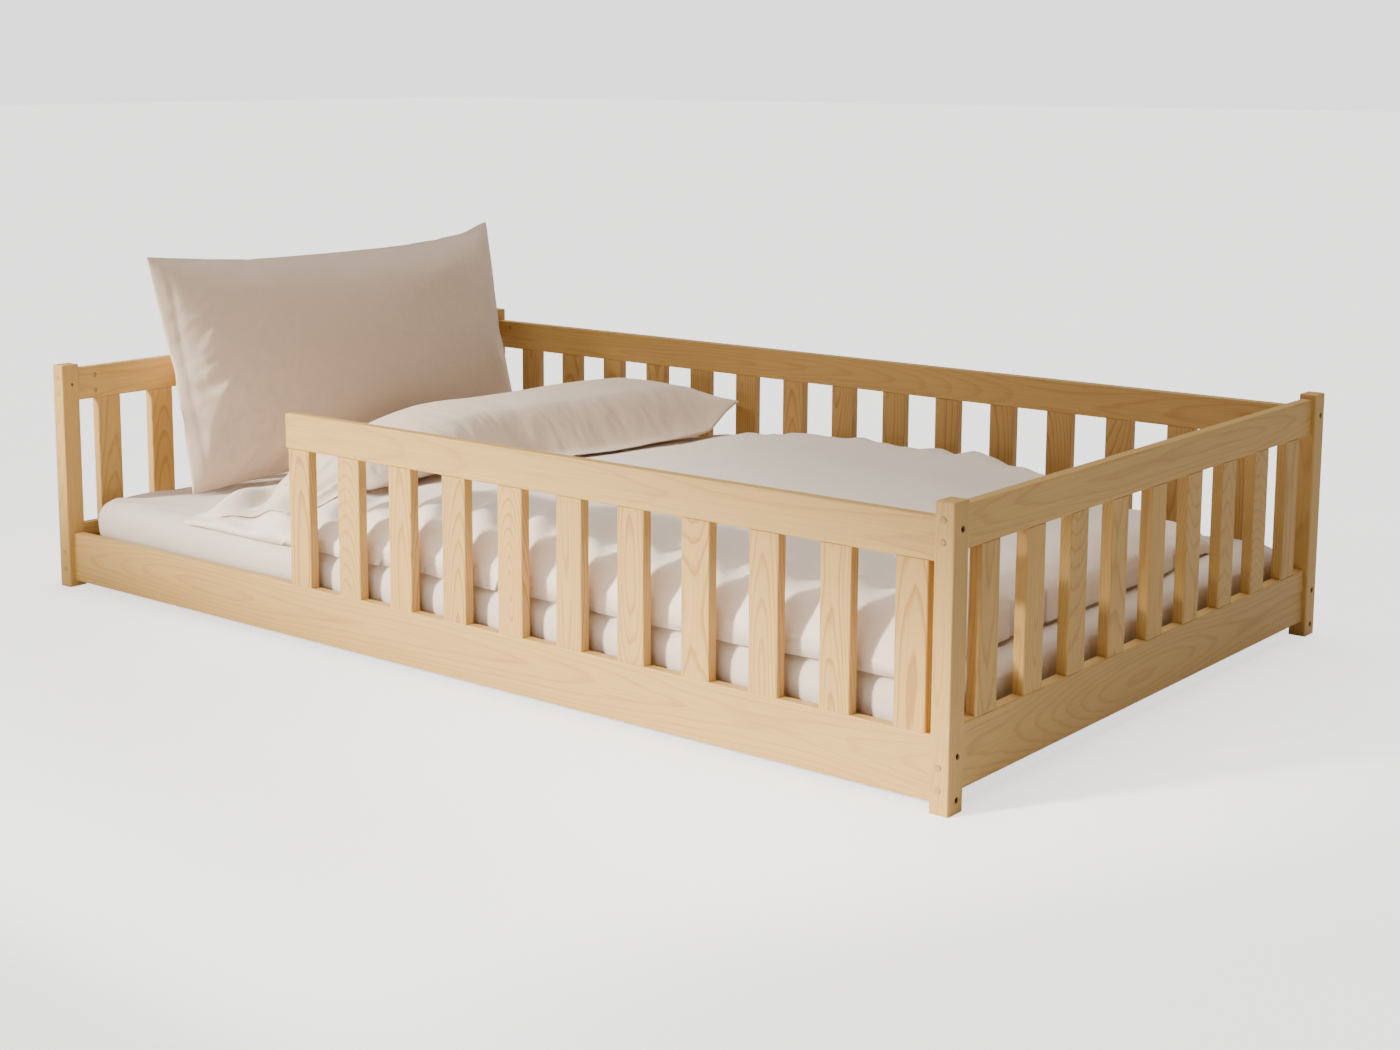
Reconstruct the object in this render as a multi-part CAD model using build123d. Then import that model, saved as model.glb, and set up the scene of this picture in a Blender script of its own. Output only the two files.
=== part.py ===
"""Toddler floor bed in solid pine with low slatted guards, slatted base, mattress, duvet and two pillows.

Millimetres, +Z up. The head is at -X, the foot at +X, the entrance on the -Y long side. The origin is on the
floor under the middle of the bed.
"""

import os

from build123d import *

os.makedirs("parts", exist_ok=True)

# Overall size and posts
bed_length = 2080.0
bed_width = 1280.0
bed_height = 450.0
post_x = 32.0
post_y = 40.0
post_edge_radius = 3.0
post_top_radius = 2.8

# Guard panels: rails with upright slats between them
panel_thickness = 20.0
side_inset = 13.0  # from a post's -Y face to the outer face of a long side
end_inset = 8.0  # from a post's outer end face to the outer face of the head or foot
side_rail_z = (12.0, 110.0, 360.0, 424.0)  # bottom rail from-to, top rail from-to
end_rail_z = (27.0, 125.0, 376.0, 441.0)
rail_edge_radius = 2.5
top_rail_end_radius = 9.0
slat_width = 55.0
slat_edge_radius = 3.0
front_slats = 11
front_pitch = 128.9
front_end_gap = 16.0  # between the last front slat and the foot post
front_rail_overhang = 9.0  # top rail past the first front slat, at the entrance
back_slats = 15
back_pitch = 128.8
end_slats = 9
end_pitch = 131.5

# Joinery
dowel_diameter = 8.0
dowel_depth = 18.0  # into each of the two pieces it joins
dowel_spread = 15.0  # each side of a slat's middle
bolt_diameter = 6.0
bolt_hole = 6.4
bolt_head = (10.0, 5.0)  # diameter, height
side_bolt_z = (20.0, 84.0, 410.0)
end_bolt_z = (36.0, 69.0, 392.0, 424.0)
side_bolt_recess = 7.0
end_bolt_recess = 9.0
recess_diameter = 10.4
nut_setback = 40.0  # from a rail's end to its barrel nuts
nut_size = (10.0, 14.0)  # diameter, length
bolt_past_nut = 7.0
cap_size = (10.2, 3.4, 1.2)  # diameter, depth in the recess, height of the dome

# Slatted base
ledger_section = (25.0, 28.0)
ledger_z = 30.0
ledger_length = 2000.0
beam_section = (40.0, 30.0)
beam_length = 2010.0
base_slats = 14
base_slat = (70.0, 1214.0, 18.0)
base_pitch = 145.0
foot_size = (60.0, 40.0)
foot_x = (-580.0, 0.0, 580.0)
screw_diameter = 4.0
screw_head = (8.0, 3.0)
ledger_screw_x = (-870.0, -580.0, -290.0, 0.0, 290.0, 580.0, 870.0)

# Bedding
bedding_gap = 0.3
mattress_size = (2000.0, 1200.0, 100.0)
duvet_x = (-700.0, 965.0)
duvet_width = 1186.0
duvet_hem_height = 50.0
duvet_loft_x = (-170.0, 945.0)
duvet_loft_height = 98.0
pillow_upright = (985.0, 500.0, 140.0)
pillow_upright_centre = (-925.0, 55.0)
pillow_upright_lean = 15.0
pillow_flat_thickness = 130.0
pillow_flat_foot_side = ((-605, -575), (-450, -562), (-395, -250), (-385, 50), (-300, 330), (-222, 556))
pillow_flat_head_side = ((-590, 570), (-745, 300), (-770, 0), (-725, -300))

# Derived places
half_length = bed_length / 2
half_width = bed_width / 2
rail_end_x = half_length - post_x
rail_end_y = half_width - post_y
front_y = -half_width + side_inset + panel_thickness / 2
back_y = half_width - post_y + side_inset + panel_thickness / 2
end_x = half_length - end_inset - panel_thickness / 2
last_front_slat = rail_end_x - front_end_gap - slat_width / 2
front_slat_x = [last_front_slat - front_pitch * (front_slats - 1 - i) for i in range(front_slats)]
back_slat_x = [back_pitch * (i - (back_slats - 1) / 2) for i in range(back_slats)]
end_slat_y = [end_pitch * (i - (end_slats - 1) / 2) for i in range(end_slats)]
base_slat_x = [base_pitch * (i - (base_slats - 1) / 2) for i in range(base_slats)]
front_top_start = front_slat_x[0] - slat_width / 2 - front_rail_overhang
ledger_top = ledger_z + ledger_section[1]
base_top = ledger_top + base_slat[2]
mattress_top = base_top + bedding_gap + mattress_size[2]
middle_y = (front_y + back_y) / 2
ledger_front_y = front_y + panel_thickness / 2 + ledger_section[0] / 2
ledger_back_y = back_y - panel_thickness / 2 - ledger_section[0] / 2


def block(x, y, z):
    """A box from three (from, to) spans."""
    size = [span[1] - span[0] for span in (x, y, z)]
    middle = [(span[0] + span[1]) / 2 for span in (x, y, z)]
    return Pos(*middle) * Box(*size)


def about(middle, size):
    """The (from, to) span of a size centred on a middle."""
    return (middle - size / 2, middle + size / 2)


def rod(start, direction, diameter, length):
    """A cylinder from a start point, along "x", "y" or "z", forwards or backwards by the length's sign."""
    turn = {"x": Rot(0, 90, 0), "y": Rot(-90, 0, 0), "z": Rot(0, 0, 0)}[direction]
    shift = {"x": (length / 2, 0, 0), "y": (0, length / 2, 0), "z": (0, 0, length / 2)}[direction]
    middle = [a + b for a, b in zip(start, shift)]
    return Pos(*middle) * turn * Cylinder(diameter / 2, abs(length))


def save(name, *solids):
    """Writes one node, as a single solid or as a group of separate solids."""
    shape = solids[0] if len(solids) == 1 else Compound(children=list(solids))
    export_step(shape, f"parts/{name}.step")


def corners():
    """The four posts' names with their signs along X and Y."""
    return [
        ("post_head_front", -1, -1),
        ("post_head_back", -1, 1),
        ("post_foot_front", 1, -1),
        ("post_foot_back", 1, 1),
    ]


def side_y(sign):
    """The middle of the front (-1) or back (1) panel."""
    return front_y if sign < 0 else back_y


def side_bolts(sign_x, sign_y):
    """The heights of the bolts that a post takes from its long side. The entrance post has no top rail."""
    if sign_x < 0 and sign_y < 0:
        return side_bolt_z[:2]
    return side_bolt_z


def post(sign_x, sign_y):
    """A corner post with its bolt holes and head recesses. All four are drilled alike."""
    outer_x = sign_x * half_length
    outer_y = sign_y * half_width
    body = block(
        about(sign_x * (half_length - post_x / 2), post_x),
        about(sign_y * (half_width - post_y / 2), post_y),
        (0, bed_height),
    )
    body = fillet(body.edges().filter_by(Axis.Z), post_edge_radius)
    body = fillet(body.faces().sort_by(Axis.Z)[-1].edges(), post_top_radius)
    for z in side_bolt_z:
        body -= rod((outer_x, side_y(sign_y), z), "x", bolt_hole, -sign_x * post_x)
        body -= rod((outer_x, side_y(sign_y), z), "x", recess_diameter, -sign_x * side_bolt_recess)
    for z in end_bolt_z:
        body -= rod((sign_x * end_x, outer_y, z), "y", bolt_hole, -sign_y * post_y)
        body -= rod((sign_x * end_x, outer_y, z), "y", recess_diameter, -sign_y * end_bolt_recess)
    return body


def slat_places(x, y, along):
    """The two dowel points of a slat, spread along its width."""
    if along == "x":
        return [(x - dowel_spread, y), (x + dowel_spread, y)]
    return [(x, y - dowel_spread), (x, y + dowel_spread)]


def slat(x, y, along, z):
    """An upright slat between two heights, with blind dowel holes in both ends."""
    size = (slat_width, panel_thickness) if along == "x" else (panel_thickness, slat_width)
    body = block(about(x, size[0]), about(y, size[1]), z)
    body = fillet(body.edges().filter_by(Axis.Z), slat_edge_radius)
    for place in slat_places(x, y, along):
        body -= rod((*place, z[0]), "z", dowel_diameter, dowel_depth)
        body -= rod((*place, z[1]), "z", dowel_diameter, -dowel_depth)
    return body


def slat_dowels(x, y, along, z):
    """The four dowels of one slat, half in the slat and half in its rails."""
    solids = []
    for place in slat_places(x, y, along):
        for level in z:
            solids.append(rod((*place, level - dowel_depth), "z", dowel_diameter, 2 * dowel_depth))
    return solids


def nut_hole(x, y, z, inward):
    """The blind hole for a barrel nut, drilled from the panel's inner face."""
    axis = "x" if inward[0] else "y"
    sign = inward[0] + inward[1]
    depth = panel_thickness / 2 + nut_size[1] / 2 + 0.5
    start = (x + inward[0] * panel_thickness / 2, y + inward[1] * panel_thickness / 2, z)
    return rod(start, axis, nut_size[0] + 0.2, -sign * depth)


def side_rail(sign_y, x, z, bolt_z, slat_x, dowel_z, bolted_ends=(-1, 1)):
    """A rail of a long side, bored for its end bolts, barrel nuts and slat dowels."""
    y = side_y(sign_y)
    body = block(x, about(y, panel_thickness), z)
    body = fillet(body.edges().filter_by(Axis.X), rail_edge_radius)
    for sign in bolted_ends:
        for level in bolt_z:
            depth = nut_setback + bolt_past_nut + 1
            body -= rod((sign * rail_end_x, y, level), "x", bolt_hole, -sign * depth)
            body -= nut_hole(sign * (rail_end_x - nut_setback), y, level, (0, -sign_y))
    for middle in slat_x:
        for place in slat_places(middle, y, "x"):
            depth = dowel_depth if dowel_z == z[0] else -dowel_depth
            body -= rod((*place, dowel_z), "z", dowel_diameter, depth)
    return body


def end_rail(sign_x, z, bolt_z, dowel_z):
    """A rail of the head or foot, bored for its end bolts, barrel nuts and slat dowels."""
    x = sign_x * end_x
    body = block(about(x, panel_thickness), (-rail_end_y, rail_end_y), z)
    body = fillet(body.edges().filter_by(Axis.Y), rail_edge_radius)
    for sign in (-1, 1):
        for level in bolt_z:
            depth = nut_setback + bolt_past_nut + 1
            body -= rod((x, sign * rail_end_y, level), "y", bolt_hole, -sign * depth)
            body -= nut_hole(x, sign * (rail_end_y - nut_setback), level, (-sign_x, 0))
    for middle in end_slat_y:
        for place in slat_places(x, middle, "y"):
            depth = dowel_depth if dowel_z == z[0] else -dowel_depth
            body -= rod((*place, dowel_z), "z", dowel_diameter, depth)
    return body


def front_top_rail():
    """The guard's top rail, from the entrance to the foot post, with its free end's corners rounded."""
    z = side_rail_z[2:]
    body = side_rail(-1, (front_top_start, rail_end_x), z, side_bolt_z[2:], front_slat_x, z[0], (1,))
    free_end = body.faces().sort_by(Axis.X)[0]
    flat_edges = free_end.edges().filter_by(Axis.Y)
    return fillet(flat_edges, top_rail_end_radius - rail_edge_radius)


def bolt(face, direction, inward, recess):
    """A socket-head bolt sunk in a post, reaching just past its barrel nut."""
    axis = 0 if direction == "x" else 1
    post_depth = post_x if direction == "x" else post_y
    seat = list(face)
    seat[axis] += inward * recess
    length = post_depth - recess + nut_setback + bolt_past_nut
    head = rod(seat, direction, bolt_head[0], -inward * bolt_head[1])
    top = list(seat)
    top[axis] -= inward * bolt_head[1]
    turn = Rot(0, 90, 0) if direction == "x" else Rot(90, 0, 0)
    socket = extrude(turn * RegularPolygon(2.5, 6), 3, both=True)
    return rod(seat, direction, bolt_diameter, inward * length) + head - Pos(*top) * socket


def barrel_nut(x, y, z, across, along):
    """A barrel nut across the rail, with a threaded hole along the bolt."""
    start = [x, y, z]
    start[0 if across == "x" else 1] -= nut_size[1] / 2
    hole_start = [x, y, z]
    hole_start[0 if along == "x" else 1] -= nut_size[0]
    body = rod(start, across, nut_size[0], nut_size[1])
    return body - rod(hole_start, along, bolt_diameter + 0.1, 2 * nut_size[0])


def cap(x, outer_y, z, sign_y):
    """A domed wooden cap over a head or foot bolt."""
    diameter, depth, dome = cap_size
    plug = rod((x, outer_y, z), "y", diameter, -sign_y * depth)
    rim = rod((x, outer_y, z), "y", diameter, sign_y * dome)
    outer = rim.faces().sort_by(Axis.Y)[-1 if sign_y > 0 else 0]
    return plug + fillet(outer.edges(), dome - 0.1)


def screw(head_point, direction, length):
    """A countersunk wood screw from its head's flat face."""
    width, height = screw_head
    sign = 1 if length > 0 else -1
    shank = rod(head_point, direction, screw_diameter, length)
    turns = {"y": Rot(-90 * sign, 0, 0), "z": Rot(0, 0 if sign > 0 else 180, 0)}
    cone = Cone(width / 2, screw_diameter / 2, height, align=(Align.CENTER, Align.CENTER, Align.MIN))
    return shank + Pos(*head_point) * turns[direction] * cone


def ledger_screws():
    """The screws that hold both ledgers to the bottom rails."""
    solids = []
    z = ledger_z + ledger_section[1] / 2
    for x in ledger_screw_x:
        solids.append(screw((x, ledger_front_y + ledger_section[0] / 2, z), "y", -40))
        solids.append(screw((x, ledger_back_y - ledger_section[0] / 2, z), "y", 40))
    return solids


def base_slat_screws():
    """The screws through each base slat into both ledgers and the centre beam."""
    screw_y = (ledger_front_y, middle_y, ledger_back_y)
    return [screw((x, y, base_top), "z", -30) for x in base_slat_x for y in screw_y]


def beam_screws():
    """The screws through the centre beam into its feet."""
    return [screw((x, middle_y, ledger_top), "z", -50) for x in foot_x]


def ledger(y):
    """A ledger along a bottom rail's inner face, drilled for its screws."""
    body = block(about(0, ledger_length), about(y, ledger_section[0]), (ledger_z, ledger_top))
    return body - ledger_screws() - base_slat_screws()


def base_slat_at(x):
    """One base slat with eased long edges."""
    body = block(about(x, base_slat[0]), about(middle_y, base_slat[1]), (ledger_top, base_top))
    body = fillet(body.edges().filter_by(Axis.Y), 2)
    near = [screw((x, y, base_top), "z", -30) for y in (ledger_front_y, middle_y, ledger_back_y)]
    return body - near


def centre_beam():
    """The beam under the middle of the base slats."""
    z = (ledger_top - beam_section[1], ledger_top)
    body = block(about(0, beam_length), about(middle_y, beam_section[0]), z)
    return body - base_slat_screws() - beam_screws()


def centre_foot(x):
    """A block under the centre beam."""
    z = (0, ledger_top - beam_section[1])
    body = block(about(x, foot_size[0]), about(middle_y, foot_size[1]), z)
    return body - beam_screws()


def mattress():
    """The mattress with its fitted sheet, as one soft block."""
    length, width, thickness = mattress_size
    z = (mattress_top - thickness, mattress_top)
    body = block(about(0, length), about(middle_y, width), z)
    body = fillet(body.edges().filter_by(Axis.Z), 45)
    return fillet(body.faces().sort_by(Axis.Z)[-1].edges() + body.faces().sort_by(Axis.Z)[0].edges(), 24)


def duvet():
    """The duvet: a thin hem all round and a puffed middle."""
    low = mattress_top + bedding_gap
    hem = block(duvet_x, about(middle_y, duvet_width), (low, low + duvet_hem_height))
    hem = fillet(hem.edges().filter_by(Axis.Z), 60)
    hem = fillet(hem.faces().sort_by(Axis.Z)[-1].edges(), 30)
    loft_z = (low + duvet_hem_height / 2, low + duvet_loft_height)
    puff = block(duvet_loft_x, about(middle_y, duvet_width - 50), loft_z)
    puff = fillet(puff.edges().filter_by(Axis.Z), 90)
    puff = fillet(puff.faces().sort_by(Axis.Z)[-1].edges(), 45)
    return hem + puff


def layers(thickness):
    """A pillow's levels through its thickness, each with its share of the full outline."""
    shares = ((-0.5, 0.5), (-0.36, 0.78), (-0.2, 0.92), (0, 1), (0.2, 0.92), (0.36, 0.78), (0.5, 0.5))
    return [(level * thickness, share) for level, share in shares]


def upright_pillow():
    """The pillow that leans back on the head's top rail."""
    length, width, thickness = pillow_upright
    sections = []
    for level, share in layers(thickness):
        inset = (1 - share) * width
        outline = RectangleRounded(width - inset, length - inset, 20 + inset / 3)
        sections.append(Pos(0, 0, level) * outline)
    body = Rot(0, 90 - pillow_upright_lean, 0) * loft(sections, ruled=True)
    low = body.bounding_box().min.Z
    x, y = pillow_upright_centre
    return Pos(x, y, mattress_top + bedding_gap - low) * body


def flat_pillow():
    """The pillow that lies on the duvet's hem, narrower at its near end."""
    points = pillow_flat_foot_side + pillow_flat_head_side
    centre_x = sum(x for x, _ in points) / len(points)
    centre_y = sum(y for _, y in points) / len(points)
    low = mattress_top + 2 * bedding_gap + duvet_hem_height
    sections = []
    for level, share in layers(pillow_flat_thickness):
        along = 1 - (1 - share) * 0.4
        outline = Polygon(*[((x - centre_x) * share, (y - centre_y) * along) for x, y in points], align=None)
        sections.append(Pos(centre_x, centre_y, low + pillow_flat_thickness / 2 + level) * outline)
    return loft(sections, ruled=True)


# Posts
for name, sign_x, sign_y in corners():
    save(name, post(sign_x, sign_y))

# Rails
side_span = (-rail_end_x, rail_end_x)
bottom, top = side_rail_z[:2], side_rail_z[2:]
rail_screws = ledger_screws()
rail_front_bottom = side_rail(-1, side_span, bottom, side_bolt_z[:2], front_slat_x, bottom[1])
rail_back_bottom = side_rail(1, side_span, bottom, side_bolt_z[:2], back_slat_x, bottom[1])
save("rail_front_bottom", rail_front_bottom - rail_screws)
save("rail_front_top", front_top_rail())
save("rail_back_bottom", rail_back_bottom - rail_screws)
save("rail_back_top", side_rail(1, side_span, top, side_bolt_z[2:], back_slat_x, top[0]))
for name, sign_x in (("head", -1), ("foot", 1)):
    save(f"rail_{name}_bottom", end_rail(sign_x, end_rail_z[:2], end_bolt_z[:2], end_rail_z[1]))
    save(f"rail_{name}_top", end_rail(sign_x, end_rail_z[2:], end_bolt_z[2:], end_rail_z[2]))

# Guard slats, and the dowels that hold them
dowels = []
for i, x in enumerate(front_slat_x):
    save(f"front_slat_{i + 1:02d}", slat(x, front_y, "x", side_rail_z[1:3]))
    dowels += slat_dowels(x, front_y, "x", side_rail_z[1:3])
save("back_slats", *[slat(x, back_y, "x", side_rail_z[1:3]) for x in back_slat_x])
for x in back_slat_x:
    dowels += slat_dowels(x, back_y, "x", side_rail_z[1:3])
for name, sign_x in (("head", -1), ("foot", 1)):
    for i, y in enumerate(end_slat_y):
        save(f"{name}_slat_{i + 1:02d}", slat(sign_x * end_x, y, "y", end_rail_z[1:3]))
        dowels += slat_dowels(sign_x * end_x, y, "y", end_rail_z[1:3])
save("slat_dowels", *dowels)

# Bolts, barrel nuts and caps
side_rail_bolts, end_rail_bolts, barrel_nuts, bolt_caps = [], [], [], []
for _, sign_x, sign_y in corners():
    y = side_y(sign_y)
    for z in side_bolts(sign_x, sign_y):
        side_rail_bolts.append(bolt((sign_x * half_length, y, z), "x", -sign_x, side_bolt_recess))
        barrel_nuts.append(barrel_nut(sign_x * (rail_end_x - nut_setback), y, z, "y", "x"))
    x = sign_x * end_x
    for z in end_bolt_z:
        end_rail_bolts.append(bolt((x, sign_y * half_width, z), "y", -sign_y, end_bolt_recess))
        barrel_nuts.append(barrel_nut(x, sign_y * (rail_end_y - nut_setback), z, "x", "y"))
        bolt_caps.append(cap(x, sign_y * half_width, z, sign_y))
save("side_rail_bolts", *side_rail_bolts)
save("end_rail_bolts", *end_rail_bolts)
save("barrel_nuts", *barrel_nuts)
save("bolt_caps", *bolt_caps)

# Slatted base
save("ledger_front", ledger(ledger_front_y))
save("ledger_back", ledger(ledger_back_y))
save("base_slats", *[base_slat_at(x) for x in base_slat_x])
save("centre_beam", centre_beam())
save("centre_feet", *[centre_foot(x) for x in foot_x])
save("ledger_screws", *rail_screws)
save("base_slat_screws", *base_slat_screws())
save("beam_screws", *beam_screws())

# Bedding
save("mattress", mattress())
save("duvet", duvet())
save("pillow_upright", upright_pillow())
save("pillow_flat", flat_pillow())
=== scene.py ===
"""The toddler floor bed's looks: pine frame, mattress in its sheet, duvet and two pillows, in metres."""

import math

import bpy
import numpy as np
from mathutils import Matrix, Vector, noise
from mathutils.bvhtree import BVHTree


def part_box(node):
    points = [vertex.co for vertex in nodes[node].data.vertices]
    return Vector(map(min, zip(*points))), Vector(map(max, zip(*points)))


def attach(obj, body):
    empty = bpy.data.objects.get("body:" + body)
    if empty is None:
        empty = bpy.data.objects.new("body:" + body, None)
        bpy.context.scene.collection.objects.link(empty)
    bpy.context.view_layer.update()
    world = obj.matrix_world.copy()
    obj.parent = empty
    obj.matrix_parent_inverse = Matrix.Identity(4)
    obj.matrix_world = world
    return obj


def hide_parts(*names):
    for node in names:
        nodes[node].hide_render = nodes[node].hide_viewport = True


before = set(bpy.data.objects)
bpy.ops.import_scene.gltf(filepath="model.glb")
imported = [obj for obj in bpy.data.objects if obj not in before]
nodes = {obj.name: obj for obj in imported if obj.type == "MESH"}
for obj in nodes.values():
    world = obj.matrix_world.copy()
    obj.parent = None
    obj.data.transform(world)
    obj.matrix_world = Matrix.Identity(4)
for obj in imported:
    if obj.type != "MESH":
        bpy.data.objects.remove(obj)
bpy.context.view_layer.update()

X, Y, Z = 0, 1, 2

SOFT_NODES = ("mattress", "duvet", "pillow_upright", "pillow_flat")
PLATED_NODES = ("end_rail_bolts", "barrel_nuts", "base_slat_screws", "ledger_screws", "beam_screws")
METAL_NODES = ("side_rail_bolts", *PLATED_NODES)


# ---------------------------------------------------------------- node helpers


def new_material(name):
    material = bpy.data.materials.new(name)
    material.use_nodes = True
    tree = material.node_tree
    return material, tree, tree.nodes["Principled BSDF"]


def put(tree, kind, inputs=None, **settings):
    """Adds a node; inputs maps a socket to a value or to another node's output."""
    node = tree.nodes.new(kind)
    for key, value in settings.items():
        setattr(node, key, value)
    for key, value in (inputs or {}).items():
        if isinstance(value, bpy.types.NodeSocket):
            tree.links.new(value, node.inputs[key])
        else:
            node.inputs[key].default_value = value
    return node


def maths(tree, operation, a, b=0.0):
    return put(tree, "ShaderNodeMath", {0: a, 1: b}, operation=operation).outputs[0]


def plus(tree, a, b):
    return maths(tree, "ADD", a, b)


def minus(tree, a, b):
    return maths(tree, "SUBTRACT", a, b)


def times(tree, a, b):
    return maths(tree, "MULTIPLY", a, b)


def vector(tree, x, y, z):
    return put(tree, "ShaderNodeCombineXYZ", {0: x, 1: y, 2: z}).outputs[0]


def noise_of(tree, where, scale, detail=2.0, roughness=0.5):
    inputs = {"Vector": where, "Scale": scale, "Detail": detail, "Roughness": roughness}
    return put(tree, "ShaderNodeTexNoise", inputs).outputs[0]


def ramp(tree, fac, stops):
    """A colour ramp from (position, colour) stops."""
    node = put(tree, "ShaderNodeValToRGB", {0: fac})
    elements = node.color_ramp.elements
    for i, (position, colour) in enumerate(stops):
        element = elements[i] if i < 2 else elements.new(position)
        element.position = position
        element.color = (*colour, 1.0)
    return node.outputs[0]


def mix(tree, fac, a, b, blend="MIX"):
    node = put(tree, "ShaderNodeMix", data_type="RGBA", blend_type=blend)
    for index, value in ((0, fac), (6, a), (7, b)):
        if isinstance(value, bpy.types.NodeSocket):
            tree.links.new(value, node.inputs[index])
        elif index:
            node.inputs[index].default_value = (*value, 1.0)
        else:
            node.inputs[index].default_value = value
    return node.outputs[2]


def grey(value):
    return (value, value, value)


# ---------------------------------------------------------------- wood


PINE_EARLY = (0.665, 0.41, 0.122)
PINE_LATE = (0.39, 0.18, 0.038)
PINE_WARM = (0.56, 0.315, 0.085)
RING_WIDTH = (0.0046, 0.0064)
PITH_OFFSET = (-0.012, 0.012)
PITH_DEPTH = (0.035, 0.075)


def own_board(tree, along, across, pitch):
    """Restarts the pattern on each board of a row that shares one node, pitch being their spacing.

    Each board is moved along and across by its own amount, so that no two are alike.
    """
    board = maths(tree, "ROUND", maths(tree, "DIVIDE", across, pitch))
    across = minus(tree, across, times(tree, board, pitch))
    turn = maths(tree, "SINE", times(tree, board, 12.9))
    along = plus(tree, along, times(tree, board, 0.731))
    return along, plus(tree, across, times(tree, turn, 0.016))


def growth_rings(tree, rng, seed, tilt, along, across, depth):
    """From 0 in early wood to 1 in late wood, about a pith that wanders behind the board."""
    bend = noise_of(tree, vector(tree, times(tree, along, 1.6), seed * 1.7, 0.0), 1.0, 1.0)
    bend = times(tree, minus(tree, bend, 0.5), 0.05)
    centred = plus(tree, plus(tree, across, bend), float(rng.uniform(*PITH_OFFSET)))
    slope = noise_of(tree, vector(tree, times(tree, along, 0.9), seed * 2.3, 4.0), 1.0, 1.0)
    slope = times(tree, minus(tree, slope, 0.5), tilt)
    deep = plus(tree, plus(tree, depth, slope), float(rng.uniform(*PITH_DEPTH)))
    squares = plus(tree, maths(tree, "POWER", centred, 2.0), maths(tree, "POWER", deep, 2.0))
    radius = maths(tree, "SQRT", squares)
    squashed = vector(tree, times(tree, along, 5.0), times(tree, across, 42.0), times(tree, depth, 42.0))
    wobble = times(tree, minus(tree, noise_of(tree, squashed, 1.0, 2.0), 0.5), 0.006)
    ring_width = float(rng.uniform(*RING_WIDTH))
    ring = maths(tree, "FRACT", maths(tree, "DIVIDE", plus(tree, radius, wobble), ring_width))
    return ramp(tree, ring, [(0.0, grey(0.0)), (0.58, grey(0.06)), (0.86, grey(1.0)), (0.96, grey(0.05))])


def pine(name, seed, board, centre, pitch=0.0, early=PINE_EARLY, late=PINE_LATE, rough=0.46):
    """Pine cut from a log: growth rings along the board's own grain, with fine fibres.

    board is a row of BOARDS, centre the board's middle, and pitch the spacing of boards that share a node.
    """
    grain, width, thick, tilt, strength = board
    material, tree, bsdf = new_material(name)
    place = put(tree, "ShaderNodeTexCoord").outputs["Object"]
    axes = put(tree, "ShaderNodeSeparateXYZ", {0: place}).outputs
    rng = np.random.default_rng(seed)
    along = minus(tree, axes[grain], centre[grain])
    across = minus(tree, axes[width], centre[width])
    depth = minus(tree, axes[thick], centre[thick])
    if pitch:
        along, across = own_board(tree, along, across, pitch)
    along = plus(tree, along, float(rng.uniform(-3, 3)))
    line = growth_rings(tree, rng, seed, tilt, along, across, depth)
    fine = vector(tree, times(tree, along, 6.0), times(tree, across, 650.0), times(tree, depth, 650.0))
    fibre = noise_of(tree, fine, 1.0, 3.0, 0.6)
    patchy = vector(tree, times(tree, along, 1.3), times(tree, across, 9.0), seed * 0.61)
    patch = noise_of(tree, patchy, 1.0, 2.0)
    amount = times(tree, line, times(tree, plus(tree, patch, 0.2), 0.72 * strength))
    colour = mix(tree, amount, early, late)
    tint = float(rng.uniform(0.95, 1.04))
    warm = mix(tree, times(tree, patch, 0.5), colour, PINE_WARM)
    streak = ramp(tree, fibre, [(0.30, grey(0.86 * tint)), (0.62, grey(1.03 * tint))])
    colour = mix(tree, 1.0, warm, streak, "MULTIPLY")
    tree.links.new(colour, bsdf.inputs["Base Color"])
    tree.links.new(plus(tree, times(tree, fibre, 0.16), rough - 0.06), bsdf.inputs["Roughness"])
    height = plus(tree, times(tree, fibre, 0.5), times(tree, line, 0.5))
    bump = put(tree, "ShaderNodeBump", {"Strength": 0.35, "Distance": 0.00035, "Height": height})
    tree.links.new(bump.outputs[0], bsdf.inputs["Normal"])
    bsdf.inputs["IOR"].default_value = 1.45
    return material


def middle(node):
    low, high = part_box(node)
    return [(a + b) / 2 for a, b in zip(low, high)]


def paint(node, material):
    """Gives a CAD node its material through its object's slots."""
    piece = nodes[node]
    for place in piece.material_slots:
        place.link = "OBJECT"
        place.material = material


# The axes along the grain, across the board and through it, the rings' tilt and how dark they are.
BOARDS = {
    "post": (Z, X, Y, 0.22, 0.7),
    "side_rail": (X, Z, Y, 0.16, 0.75),
    "end_rail": (Y, Z, X, 0.16, 0.85),
    "side_slat": (Z, X, Y, 0.34, 1.6),
    "end_slat": (Z, Y, X, 0.34, 1.15),
    "base_slat": (Y, X, Z, 0.16, 1.0),
    "ledger": (X, Z, Y, 0.1, 1.0),
    "dowel": (Z, X, Y, 0.05, 1.0),
    "cap": (X, Z, Y, 0.05, 1.0),
}
BACK_SLAT_PITCH, BASE_SLAT_PITCH = 0.1288, 0.145


def board_kind(node):
    """The row of BOARDS that a wooden node follows."""
    if node.startswith("post_"):
        return "post"
    if node.startswith("rail_"):
        return "side_rail" if "front" in node or "back" in node else "end_rail"
    if node.startswith("front_slat") or node == "back_slats":
        return "side_slat"
    if "_slat_" in node:
        return "end_slat"
    if node == "base_slats":
        return "base_slat"
    return "ledger"


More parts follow.
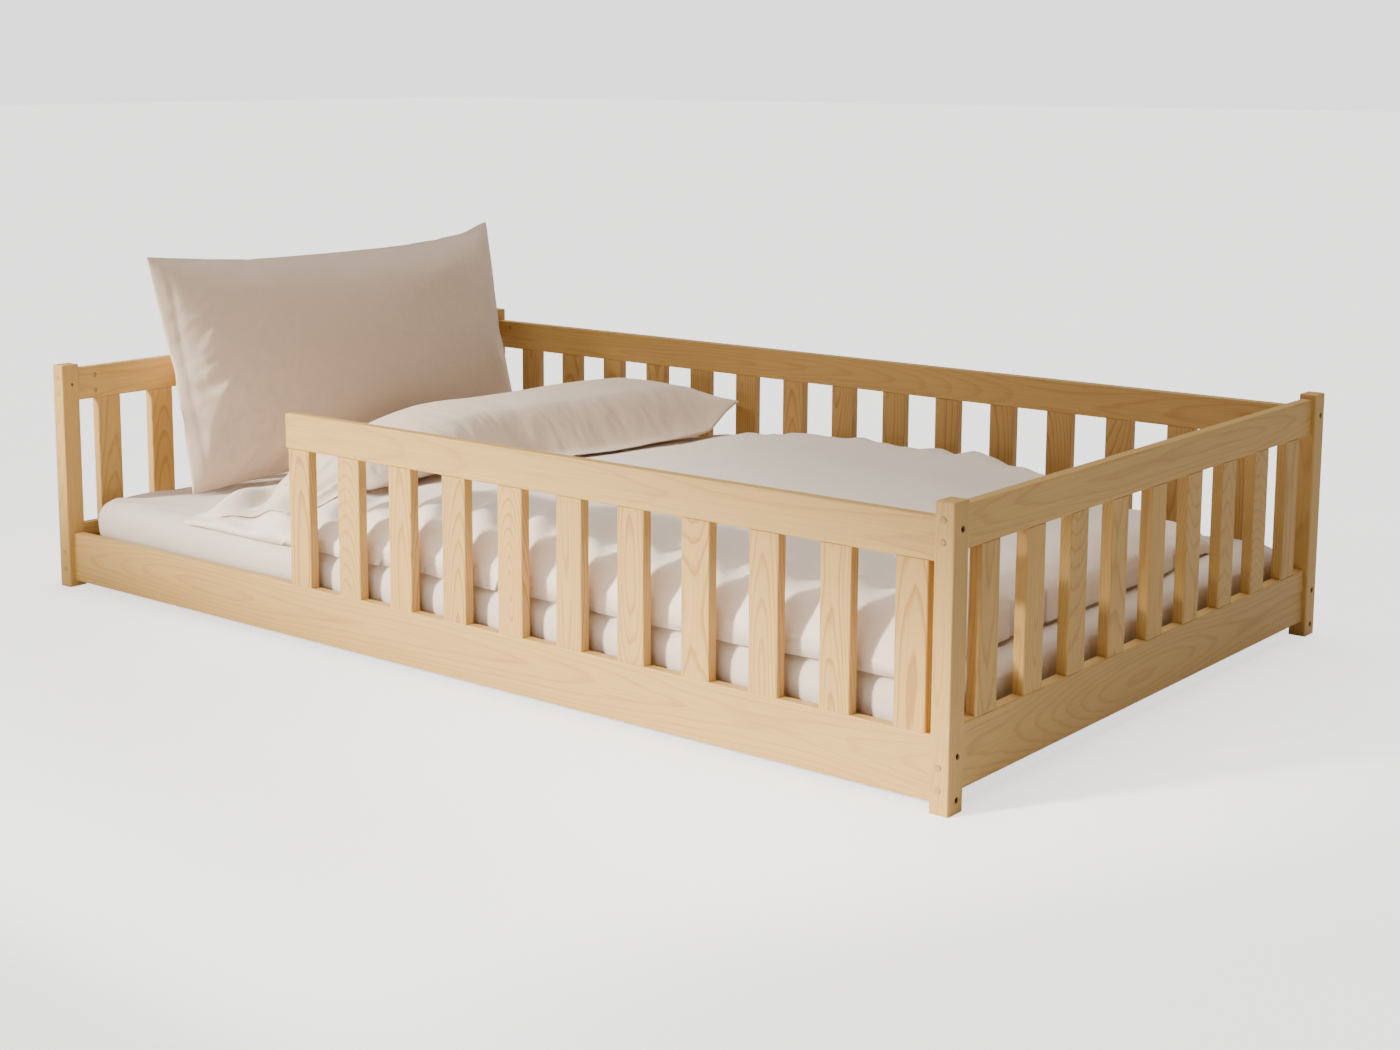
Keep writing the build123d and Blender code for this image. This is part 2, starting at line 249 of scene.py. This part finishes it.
def paint_wood():
    other = SOFT_NODES + METAL_NODES + ("slat_dowels", "bolt_caps")
    wooden = [name for name in sorted(nodes) if name not in other]
    for seed, name in enumerate(wooden, 1):
        pitch = {"back_slats": BACK_SLAT_PITCH, "base_slats": BASE_SLAT_PITCH}.get(name, 0.0)
        centre = middle(name)
        if name == "base_slats":
            # An even number of slats, so that the middle falls in a gap.
            centre[X] += pitch / 2
        paint(name, pine(f"pine_{name}", seed, BOARDS[board_kind(name)], centre, pitch))


# ---------------------------------------------------------------- metal, dowels and caps


def metal(name, colour, dark, rough):
    """Plated or browned steel, blotched and finely pitted."""
    material, tree, bsdf = new_material(name)
    place = put(tree, "ShaderNodeTexCoord").outputs["Object"]
    specks = noise_of(tree, place, 900.0, 3.0)
    blotch = noise_of(tree, place, 160.0, 2.0)
    tone = ramp(tree, blotch, [(0.35, dark), (0.65, colour)])
    tree.links.new(tone, bsdf.inputs["Base Color"])
    tree.links.new(plus(tree, times(tree, specks, 0.25), rough - 0.1), bsdf.inputs["Roughness"])
    bump = put(tree, "ShaderNodeBump", {"Strength": 0.2, "Distance": 0.0001, "Height": specks})
    tree.links.new(bump.outputs[0], bsdf.inputs["Normal"])
    bsdf.inputs["Metallic"].default_value = 0.9
    return material


def paint_fittings():
    zinc = metal("yellow_zinc_plate", (0.60, 0.42, 0.18), dark=(0.46, 0.31, 0.12), rough=0.42)
    brown = metal("browned_steel", (0.16, 0.085, 0.04), dark=(0.09, 0.05, 0.025), rough=0.5)
    paint("side_rail_bolts", brown)
    for name in PLATED_NODES:
        paint(name, zinc)
    origin = (0, 0, 0)
    beech = pine("beech", 91, BOARDS["dowel"], origin, early=(0.62, 0.42, 0.24), late=(0.5, 0.31, 0.16))
    paint("slat_dowels", beech)
    # The caps' wood is darker than the posts' so that they show: this darker tone is painted shade,
    # standing in for the shadow round each cap's rim.
    shades = {"early": (0.52, 0.29, 0.09), "late": (0.40, 0.21, 0.06)}
    shade_darkened_cap_wood = pine("cap_wood", 92, BOARDS["cap"], origin, rough=0.36, **shades)
    paint("bolt_caps", shade_darkened_cap_wood)


# ---------------------------------------------------------------- cotton


THREAD = 0.0011
LONG_SLUB, THIN_SLUB = 22.0, 900.0


def cotton(name, colour, shade):
    """Plain-woven cotton: crossed threads from the cloth's own flat coordinates, slubs and a soft nap."""
    material, tree, bsdf = new_material(name)
    flat = put(tree, "ShaderNodeUVMap", uv_map="cloth").outputs[0]
    threads = []
    for direction in ("X", "Y"):
        inputs = {"Vector": flat, "Scale": 0.05 / THREAD, "Distortion": 0.6, "Detail": 1.0}
        wave = put(tree, "ShaderNodeTexWave", inputs, wave_type="BANDS", bands_direction=direction)
        threads.append(wave.outputs["Fac"])
    weave_height = times(tree, threads[0], threads[1])
    axes = put(tree, "ShaderNodeSeparateXYZ", {0: flat}).outputs
    slubs = []
    for scale_x, scale_y, layer in ((LONG_SLUB, THIN_SLUB, 0.0), (THIN_SLUB, LONG_SLUB, 3.0)):
        where = vector(tree, times(tree, axes[0], scale_x), times(tree, axes[1], scale_y), layer)
        slubs.append(times(tree, noise_of(tree, where, 1.0, 2.0), 0.5))
    slub = plus(tree, *slubs)
    cloud = noise_of(tree, flat, 3.2, 3.0)
    base = mix(tree, ramp(tree, cloud, [(0.35, grey(0.0)), (0.7, grey(1.0))]), colour, shade)
    base = mix(tree, 1.0, base, ramp(tree, slub, [(0.3, grey(0.93)), (0.7, grey(1.03))]), "MULTIPLY")
    tree.links.new(base, bsdf.inputs["Base Color"])
    height = plus(tree, times(tree, weave_height, 0.25), times(tree, slub, 0.35))
    fine = put(tree, "ShaderNodeBump", {"Strength": 0.35, "Distance": 0.0004, "Height": height})
    crease = noise_of(tree, flat, 26.0, 4.0, 0.55)
    inputs = {"Strength": 0.45, "Distance": 0.005, "Height": crease, "Normal": fine.outputs[0]}
    soft = put(tree, "ShaderNodeBump", inputs)
    tree.links.new(soft.outputs[0], bsdf.inputs["Normal"])
    tree.links.new(plus(tree, times(tree, slub, 0.12), 0.80), bsdf.inputs["Roughness"])
    bsdf.inputs["Sheen Weight"].default_value = 0.25
    bsdf.inputs["Sheen Roughness"].default_value = 0.5
    bsdf.inputs["Specular IOR Level"].default_value = 0.25
    return material


# ---------------------------------------------------------------- soft goods


def loop_points(mesh):
    """The point that each face corner of the mesh stands on."""
    corners = np.empty(len(mesh.loops), dtype=np.int32)
    mesh.loops.foreach_get("vertex_index", corners)
    return corners


def add_cloth_map(mesh, flat):
    """Gives a mesh its cloth coordinates, one pair per point, as a UV map in metres."""
    layer = mesh.uv_layers.new(name="cloth")
    pairs = np.asarray(flat, dtype=np.float32)[loop_points(mesh)]
    layer.data.foreach_set("uv", pairs.ravel())


def mesh_object(name, points, faces, flat=None):
    mesh = bpy.data.meshes.new(name)
    mesh.from_pydata([tuple(p) for p in points], [], faces)
    mesh.update()
    if flat is not None:
        add_cloth_map(mesh, flat)
    piece = bpy.data.objects.new(name, mesh)
    bpy.context.scene.collection.objects.link(piece)
    return piece


def coordinates(piece):
    points = np.empty(len(piece.data.vertices) * 3)
    piece.data.vertices.foreach_get("co", points)
    return points.reshape(-1, 3)


def set_coordinates(piece, points):
    piece.data.vertices.foreach_set("co", np.asarray(points, dtype=np.float64).ravel())
    piece.data.update()


def bake_modifiers(piece):
    """Replaces the piece's mesh with its evaluated one and drops the modifiers."""
    graph = bpy.context.evaluated_depsgraph_get()
    mesh = bpy.data.meshes.new_from_object(piece.evaluated_get(graph))
    piece.modifiers.clear()
    piece.data = mesh


def subdivide(piece):
    piece.modifiers.new("smooth", "SUBSURF").levels = 1
    bake_modifiers(piece)
    piece.data.shade_smooth()


PILLOW_CELL, DUVET_CELL = 0.0115, 0.018
LOWER_LAYER_SHIFT = 3.0


def sewn(name, length, width, cell, loft):
    """Two flat layers sewn round their edge, slightly lofted so that they part when filled.

    The lower layer's cloth coordinates lie beside the upper layer's, so that the two don't share a weave.
    """
    across, along = round(width / cell), round(length / cell)
    us = np.linspace(-width / 2, width / 2, across + 1)
    vs = np.linspace(-length / 2, length / 2, along + 1)
    points, flat, index = [], [], {}
    for side in (1, -1):
        for j, v in enumerate(vs):
            for i, u in enumerate(us):
                border = i in (0, across) or j in (0, along)
                if side < 0 and border:
                    index[side, i, j] = index[1, i, j]
                    continue
                index[side, i, j] = len(points)
                rise = (1 - (2 * u / width) ** 4) * (1 - (2 * v / length) ** 4)
                points.append((u, v, side * loft * rise))
                flat.append((u + (0.0 if side > 0 else LOWER_LAYER_SHIFT), v))
    faces = []
    for side in (1, -1):
        for j in range(along):
            for i in range(across):
                ring = ((i, j), (i + 1, j), (i + 1, j + 1), (i, j + 1))
                corners = [index[(side, *corner)] for corner in ring]
                faces.append(corners if side > 0 else corners[::-1])
    return mesh_object(name, points, faces, flat)


def fill_with_air(piece, pressure, frames, stiffness=12.0, bending=0.4):
    """Swells a sewn case by cloth simulation, with no gravity, and applies the result."""
    cloth = piece.modifiers.new("cloth", "CLOTH")
    settings = cloth.settings
    settings.quality = 5
    settings.mass = 0.3
    settings.use_pressure = True
    settings.uniform_pressure_force = pressure
    settings.tension_stiffness = stiffness
    settings.compression_stiffness = stiffness
    settings.shear_stiffness = stiffness / 2
    settings.bending_stiffness = bending
    settings.effector_weights.gravity = 0.0
    settings.air_damping = 4.0
    cloth.collision_settings.use_collision = False
    cloth.collision_settings.use_self_collision = False
    cloth.point_cache.frame_start = 1
    cloth.point_cache.frame_end = frames
    for step in range(1, frames + 1):
        bpy.context.scene.frame_set(step)
    bake_modifiers(piece)
    bpy.context.scene.frame_set(1)


def straighten(piece, share):
    """Moves the case part of the way back to its flat outline, so that its sides pull in less."""
    points = coordinates(piece)
    flat = np.empty(len(piece.data.loops) * 2)
    piece.data.uv_layers["cloth"].data.foreach_get("uv", flat)
    cut = np.empty((len(points), 2))
    cut[loop_points(piece.data)] = flat.reshape(-1, 2)
    cut[:, 0] -= LOWER_LAYER_SHIFT * (cut[:, 0] > LOWER_LAYER_SHIFT / 2)
    size = points[:, :2].max(axis=0) - points[:, :2].min(axis=0)
    cut *= size / (cut.max(axis=0) - cut.min(axis=0))
    points[:, :2] += share * (cut - points[:, :2])
    set_coordinates(piece, points)


def fit(points, size):
    """Centres the points and scales them to a size along each axis."""
    low, high = points.min(axis=0), points.max(axis=0)
    return (points - (low + high) / 2) * (np.asarray(size) / (high - low))


def ripple(points, scale, seed):
    """Smooth noise from -1 to 1 at each point, after scaling each axis."""
    scaled = points * np.asarray(scale) + seed
    return np.array([noise.noise(Vector(p)) for p in scaled])


def dress(piece, body, replaced, material):
    """Makes a soft piece stand for its CAD solid."""
    piece.data.materials.clear()
    piece.data.materials.append(material)
    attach(piece, body)
    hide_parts(replaced)


def smooth_step(values, low, high):
    t = np.clip((values - low) / (high - low), 0, 1)
    return t * t * (3 - 2 * t)


def build_mattress(material):
    """A foam block with rounded edges; the sheet pulls tight over its corners."""
    low, high = (np.array(corner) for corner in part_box("mattress"))
    size, centre = high - low, (low + high) / 2
    bpy.ops.mesh.primitive_cube_add(size=1.0)
    piece = bpy.context.object
    piece.name = "mattress_in_sheet"
    piece.data.transform(Matrix.Diagonal((*(size - 0.003), 1.0)))
    bevel = piece.modifiers.new("edges", "BEVEL")
    bevel.width, bevel.segments = 0.036, 6
    remesh = piece.modifiers.new("grid", "REMESH")
    remesh.mode, remesh.voxel_size = "VOXEL", 0.012
    bake_modifiers(piece)
    points = coordinates(piece)
    half = size / 2
    u, v, z = points.T
    top = smooth_step(z, -0.01, 0.045)
    near_x, near_y = half[X] - np.abs(u), half[Y] - np.abs(v)
    # Creases that run out of the fitted corners, pulls along the edges and slack down the sides.
    corner = np.exp(-((near_x / 0.22) ** 2) - (near_y / 0.22) ** 2)
    fan = np.sin(np.arctan2(near_y + 0.02, near_x + 0.02) * 17) * corner
    sag = ripple(points, (3.0, 3.0, 6.0), 5.0)
    pull = ripple(points, (9.0, 26.0, 30.0), 9.0) * np.exp(-(near_y / 0.13) ** 2)
    pull += ripple(points, (26.0, 9.0, 30.0), 14.0) * np.exp(-(near_x / 0.13) ** 2)
    points[:, Z] += top * (0.0012 * sag - 0.003 + 0.0035 * fan + 0.0028 * pull)
    inward = 0.002 * ripple(points, (8.0, 8.0, 22.0), 21.0) - 0.002
    points[:, X] += np.sign(u) * inward * (near_x < 0.04)
    points[:, Y] += np.sign(v) * inward * (near_y < 0.04)
    set_coordinates(piece, points)
    points = coordinates(piece)
    plan, below_top = points[:, :2], half[Z] - points[:, 2:]
    at_side = np.abs(plan) > half[:2] - 0.03
    # The cloth runs over the edge and down the sides.
    add_cloth_map(piece.data, plan + np.sign(plan) * np.clip(below_top, 0, 1) * at_side)
    set_coordinates(piece, points + centre)
    subdivide(piece)
    dress(piece, "mattress", "mattress", material)
    return piece


def pillow_case(name, length, width, loft, straightened):
    """A filled pillow case, whose length and width are before filling draws its sides in.
    """
    piece = sewn(name, length, width, PILLOW_CELL, loft)
    fill_with_air(piece, pressure=2.6, frames=20)
    straighten(piece, straightened)
    subdivide(piece)
    return piece


def creased(points, scale, seed, depth=0.25):
    """Narrow valleys between rounded ridges."""
    return depth - np.abs(ripple(points, scale, seed))


def build_pillow_upright(material):
    """The big pillow that leans on the head: pointed corners, a sagging top edge and a hemmed open end."""
    low, high = (np.array(corner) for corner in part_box("pillow_upright"))
    length, height, thick, lean = 0.985, 0.492, 0.134, math.radians(15.0)
    piece = pillow_case("pillow_upright_case", length * 1.06, height * 1.1, loft=0.035, straightened=0.75)
    points = fit(coordinates(piece), (height, length, thick))
    # u is up the pillow, v along it, z through it.
    u, v = points[:, 0] / (height / 2), points[:, 1] / (length / 2)
    inner = 1 - np.maximum(np.abs(u), np.abs(v)) ** 6
    # The top edge sags, and its far corner is drawn up and out.
    points[:, 0] -= 0.016 * smooth_step(u, 0.2, 1.0) * (1 - v**2)
    points[:, 0] += 0.014 * smooth_step(u, 0.5, 1.0) * smooth_step(v, 0.8, 1.0)
    points[:, 1] += 0.015 * u * smooth_step(v, 0.3, 1.0)
    points[:, Z] *= 1 + 0.10 * smooth_step(-u, -0.4, 0.8)
    hem = np.exp(-(((v + 0.935) / 0.011) ** 2))
    hem += 0.6 * np.exp(-(((1 - np.abs(u)) / 0.035 - 1) ** 2))
    points[:, Z] -= np.sign(points[:, Z]) * 0.0022 * hem * (np.abs(points[:, Z]) > 0.004)
    soft = 0.007 * ripple(points, (7.0, 3.5, 0.0), 31.0)
    lower_end = smooth_step(-v, 0.1, 0.8) * (0.45 + 0.55 * smooth_step(-u, -0.5, 0.6))
    slanted = points @ np.array([[0.8, 0.6, 0], [-0.6, 0.8, 0], [0, 0, 1]])
    creases = 0.018 * creased(slanted, (20.0, 6.5, 0.0), 47.0) * lower_end
    creases += 0.009 * creased(slanted, (44.0, 18.0, 0.0), 53.0) * lower_end
    drag = 0.006 * ripple(points, (5.0, 15.0, 0.0), 58.0) * smooth_step(-u, 0.2, 1.0)
    points[:, Z] += (soft + creases + drag) * np.where(points[:, Z] > 0, 1, 0.3) * inner
    # From (up, along, through) to the world's (through, along, up), then leaned back.
    world = points[:, [2, 1, 0]] @ np.array(Matrix.Rotation(-lean, 3, "Y")).T
    middle_x = (world[:, X].min() + world[:, X].max()) / 2
    world[:, X] += (low[X] + high[X]) / 2 - middle_x
    world[:, Y] += (low[Y] + high[Y]) / 2
    world[:, Z] += low[Z] + 0.001 - world[:, Z].min()
    set_coordinates(piece, world)
    piece.data.shade_smooth()
    dress(piece, "pillow_upright", "pillow_upright", material)


def surface_of(*pieces):
    """A function that gives the highest surface of the pieces under a point, or None."""
    trees = [BVHTree.FromObject(piece, bpy.context.evaluated_depsgraph_get()) for piece in pieces]

    def height(x, y):
        hits = [tree.ray_cast(Vector((x, y, 2.0)), Vector((0, 0, -1)))[0] for tree in trees]
        return max((hit.z for hit in hits if hit), default=None)

    return height


def rest_on(points, height, gap, squash=0.02):
    """Lifts a soft piece clear of what it lies on, squashing what is lowest and keeping layers in order."""
    for point in points:
        under = height(point[0], point[1])
        if under is None:
            continue
        clear = point[2] - under - gap
        if clear < squash:
            point[2] = under + gap + squash * math.exp((clear - squash) / squash)


FLAT_PILLOW_FOOT_SIDE = (
    (-1.0, -0.440), (-0.75, -0.428), (-0.4, -0.415), (0.1, -0.392), (0.6, -0.300), (1.0, -0.226),
)
FLAT_PILLOW_HEAD_SIDE = (
    (-1.0, -0.620), (-0.87, -0.592), (-0.62, -0.680), (0.0, -0.765), (0.5, -0.735), (1.0, -0.592),
)


def side_line(table, v):
    """The x of a pillow's long side at a share of its half length, from (share, x) pairs."""
    shares, places = zip(*table)
    return np.interp(v, shares, places)


def build_pillow_flat(material, under):
    """The pillow that lies on the duvet: narrow and low at its near end, full and wide at its far end."""
    length, width, thick = 1.12, 0.40, 0.128
    piece = pillow_case("pillow_flat_case", length * 1.05, width * 1.12, loft=0.03, straightened=0.88)
    points = fit(coordinates(piece), (width, length, thick))
    u, v = points[:, 0] / (width / 2), points[:, 1] / (length / 2)
    creases = 0.010 * creased(points, (8.0, 24.0, 0.0), 63.0) * smooth_step(u, -0.2, 0.9)
    creases += 0.014 * creased(points, (21.0, 6.0, 0.0), 83.0) * smooth_step(-v, 0.2, 0.9)
    creases += 0.008 * creased(points, (20.0, 46.0, 0.0), 87.0) * smooth_step(u, 0.3, 0.9)
    soft = ripple(points, (4.0, 4.0, 0.0), 71.0) * 0.006
    inner = 1 - np.maximum(np.abs(u), np.abs(v)) ** 6
    right, left = side_line(FLAT_PILLOW_FOOT_SIDE, v), side_line(FLAT_PILLOW_HEAD_SIDE, v)
    x = left + (right - left) * (u + 1) / 2
    y = -0.003 + 0.555 * v - 0.022 * smooth_step(-v, 0.8, 1.0) * smooth_step(-u, 0.2, 1.0)
    # Thinner at the near end, and hanging fuller underneath at the far end.
    swell = 0.80 + 0.20 * smooth_step(v, -0.9, -0.1)
    below = points[:, Z] < 0
    swell = np.where(below, swell * (1 + 0.7 * smooth_step(v, 0.6, 0.95)), swell)
    z = points[:, Z] * swell + (soft + creases) * inner
    # The middle line rises to the far end and drops to the near end, and the foot side lies lower.
    level = 0.277 + 0.036 * smooth_step(v, 0.4, 1.0) - 0.030 * smooth_step(-v, -0.15, 0.5)
    level -= 0.075 * smooth_step(-v, 0.45, 1.0)
    middle_part = smooth_step(v, -0.3, 0.2) * (1 - smooth_step(v, 0.84, 1.0))
    level -= 0.055 * smooth_step(u, 0.45, 1.0) * middle_part
    world = np.stack([x, y, z + level], axis=1)
    rest_on(world, under, gap=0.002)
    set_coordinates(piece, world)
    piece.data.shade_smooth()
    dress(piece, "pillow_flat", "pillow_flat", material)


PLEAT_SPACING = 0.128


def duvet_folds(points, u, v, near_x, near_y):
    """The duvet's wrinkles and pleats, which are deepest along its long front edge."""
    reach = np.exp(-((near_y / 0.30) ** 2)) * (1 - 0.3 * np.exp(-((near_y / 0.05) ** 2)))
    reach *= 1 - 0.7 * smooth_step(v, -0.1, 0.2)
    drawn = 0.35 * near_y * ripple(points, (1.5, 1.5, 0.0), 2.0)
    sway = points + np.stack([drawn, 0 * u, 0 * u], axis=1)
    folds = 0.020 * ripple(sway, (9.5, 1.6, 0.0), 13.0) * reach
    folds += 0.008 * ripple(sway, (23.0, 4.0, 0.0), 29.0) * np.exp(-((near_y / 0.15) ** 2))
    folds += 0.013 * ripple(points, (2.0, 10.0, 0.0), 17.0) * np.exp(-((near_x / 0.24) ** 2))
    drift = 2.6 * ripple(points, (2.2, 2.6, 0.0), 61.0)
    pleat = np.sin((u + 0.45 * near_y) * 2 * math.pi / PLEAT_SPACING + drift)
    pleat *= 0.35 + 1.3 * np.abs(ripple(points, (3.1, 2.0, 0.0), 66.0))
    pleat = np.sign(pleat) * np.abs(pleat) ** 0.8
    fade = np.exp(-((near_y / 0.34) ** 4)) * (1 - 0.5 * smooth_step(v, -0.2, 0.2))
    folds += 0.022 * pleat * reach * fade
    folds -= 0.010 * creased(sway, (15.0, 5.0, 0.0), 57.0, 0.2) * (0.35 + reach)
    return folds


def build_duvet(material):
    """The duvet: pleated along its front, puffed over the foot half and slack over the mattress edge."""
    low, high = (np.array(corner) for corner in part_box("duvet"))
    size, centre = high - low, (low + high) / 2
    piece = sewn("duvet_case", size[Y] * 1.04, size[X] * 1.03, DUVET_CELL, loft=0.02)
    fill_with_air(piece, pressure=1.6, frames=16, stiffness=8.0, bending=0.2)
    straighten(piece, share=0.7)
    piece.data.transform(Matrix.Rotation(math.pi / 2, 4, "Z"))
    subdivide(piece)
    overhang = 0.006
    points = fit(coordinates(piece), (size[X], size[Y] + 2 * overhang, 1.0))
    swell = points[:, Z].copy()
    u, v = points[:, 0], points[:, 1]
    near_x, near_y = size[X] / 2 - np.abs(u), size[Y] / 2 + overhang - np.abs(v)
    near = np.minimum(near_x, near_y)
    # The filling is thin at the head end, and falls away at the foot's back and the head's front corner.
    crown = 0.040 + 0.048 * smooth_step(u + centre[X], -0.45, 0.05)
    crown *= 1 - 0.50 * smooth_step(u, 0.25, 0.75) * smooth_step(v, 0.12, 0.5)
    crown *= 1 - 0.65 * smooth_step(-u, 0.52, 0.78) * smooth_step(-v, 0.36, 0.56)
    edge = np.clip(near / 0.085, 0, 1)
    shape = np.sqrt(np.clip(1 - (1 - edge) ** 2, 0, 1))
    folds = duvet_folds(points, u, v, near_x, near_y)
    puckers = 0.003 * ripple(points, (45.0, 18.0, 0.0), 37.0) * np.exp(-((near / 0.06) ** 2))
    hem = 0.0035 * np.exp(-(((near - 0.022) / 0.008) ** 2))
    folds += puckers - hem
    broad = ripple(points, (2.6, 2.6, 0.0), 3.0)
    height = crown * shape * (1 + 0.06 * broad) + folds * shape + 0.002 * swell
    slack = 0.011 * (1 - smooth_step(near_y, 0.0, 0.05))
    slack *= 1 + 0.5 * ripple(points, (7.0, 7.0, 0.0), 44.0)
    upper = np.maximum(height, 0.002) + 0.004
    points[:, Z] = np.where(swell > 0, upper, 0.002 * shape) - slack
    # The foot's back corner is drawn in.
    points[:, X] -= 0.03 * smooth_step(u, 0.6, 0.83) * smooth_step(v, 0.2, 0.59)
    points[:, Y] -= 0.17 * smooth_step(u, 0.20, 0.83) * np.clip((v + 0.05) / 0.64, 0, 1)
    points[:, :2] += centre[:2]
    points[:, Z] += low[Z] + 0.001
    set_coordinates(piece, points)
    piece.data.shade_smooth()
    dress(piece, "duvet", "duvet", material)
    return piece


# ---------------------------------------------------------------- stage, light and camera


def build_stage():
    """A pale floor that glows for camera rays only, so that it looks brighter and lights nothing."""
    reach = 40
    corners = [(-reach, -reach, 0), (reach, -reach, 0), (reach, reach, 0), (-reach, reach, 0)]
    floor = mesh_object("floor", corners, [(0, 1, 2, 3)])
    material, tree, bsdf = new_material("pale_floor")
    place = put(tree, "ShaderNodeTexCoord").outputs["Object"]
    tone = ramp(tree, noise_of(tree, place, 1.4, 2.0), [(0.3, grey(0.86)), (0.7, grey(0.90))])
    tree.links.new(tone, bsdf.inputs["Base Color"])
    bsdf.inputs["Roughness"].default_value = 0.9
    seen = put(tree, "ShaderNodeLightPath").outputs["Is Camera Ray"]
    bsdf.inputs["Emission Color"].default_value = (1.0, 0.99, 0.98, 1.0)
    tree.links.new(times(tree, seen, 1.5), bsdf.inputs["Emission Strength"])
    floor.data.materials.append(material)


def aimed(name, data, direction):
    """A light or camera that looks along a direction."""
    item = bpy.data.objects.new(name, data)
    item.rotation_mode = "QUATERNION"
    item.rotation_quaternion = Vector(direction).to_track_quat("-Z", "Y")
    bpy.context.scene.collection.objects.link(item)
    return item


def area_light(name, place, target, size, power, colour):
    light = bpy.data.lights.new(name, "AREA")
    light.shape = "RECTANGLE"
    light.size, light.size_y = size
    light.energy = power
    light.color = colour
    lamp = aimed(name, light, Vector(target) - Vector(place))
    lamp.location = place
    return lamp


def build_world():
    """A weak warm surround, behind a white backdrop that only the camera sees."""
    world = bpy.data.worlds.new("studio")
    world.use_nodes = True
    tree = world.node_tree
    around = tree.nodes["Background"]
    around.inputs["Color"].default_value = (1.0, 0.93, 0.82, 1.0)
    around.inputs["Strength"].default_value = 0.15
    white = {"Color": (1.0, 1.0, 1.0, 1.0), "Strength": 2.0}
    backdrop = put(tree, "ShaderNodeBackground", white)
    seen = put(tree, "ShaderNodeLightPath").outputs["Is Camera Ray"]
    both = put(tree, "ShaderNodeMixShader", {0: seen, 1: around.outputs[0], 2: backdrop.outputs[0]})
    tree.links.new(both.outputs[0], tree.nodes["World Output"].inputs[0])
    bpy.context.scene.world = world


def build_light():
    """A low, wide key along the front, a window beam over the entrance, a warm fill and an overhead sun."""
    build_world()
    key = area_light(
        "key", place=(-0.1, -1.75, 0.38), target=(-0.05, 0.0, 0.22),
        size=(2.4, 0.3), power=13.0, colour=(1.0, 0.975, 0.94),
    )
    beam = area_light(
        "low_window", place=(-1.38, -3.11, 1.55), target=(0.0, -0.6, 0.22),
        size=(2.4, 0.55), power=11.0, colour=(1.0, 0.96, 0.88),
    )
    beam.data.spread = 0.16
    for lamp in (key, beam):
        lamp.visible_camera = False
    area_light(
        "fill", place=(4.2, -1.2, 1.8), target=(0.0, 0.0, 0.2),
        size=(2.0, 1.5), power=7.0, colour=(1.0, 0.72, 0.42),
    )
    sun = bpy.data.lights.new("overhead", "SUN")
    sun.energy, sun.angle, sun.color = 2.5, 0.9, (1.0, 0.985, 0.97)
    aimed("overhead", sun, (0.35, -0.55, -2.0))


def build_camera():
    """A longish lens about a metre up, off the bed's front foot corner, looking slightly down."""
    data = bpy.data.cameras.new("camera")
    data.sensor_width = 36.0
    data.lens = 54.82
    data.shift_x = 0.055
    data.shift_y = -0.10
    yaw, pitch = 0.7005, -0.1518
    level = math.cos(pitch)
    camera = aimed("camera", data, (-math.sin(yaw) * level, math.cos(yaw) * level, math.sin(pitch)))
    camera.location = (2.535, -3.118, 1.051)
    bpy.context.scene.camera = camera


paint_wood()
paint_fittings()
sheet_cotton = cotton("sheet_cotton", (0.75, 0.65, 0.55), (0.71, 0.61, 0.51))
duvet_cotton = cotton("duvet_cotton", (0.90, 0.765, 0.64), (0.86, 0.725, 0.60))
pillow_cotton = cotton("pillow_cotton", (0.85, 0.67, 0.51), (0.81, 0.63, 0.475))
mattress = build_mattress(sheet_cotton)
duvet = build_duvet(duvet_cotton)
build_pillow_upright(pillow_cotton)
build_pillow_flat(pillow_cotton, surface_of(mattress, duvet))
build_stage()
build_light()
build_camera()
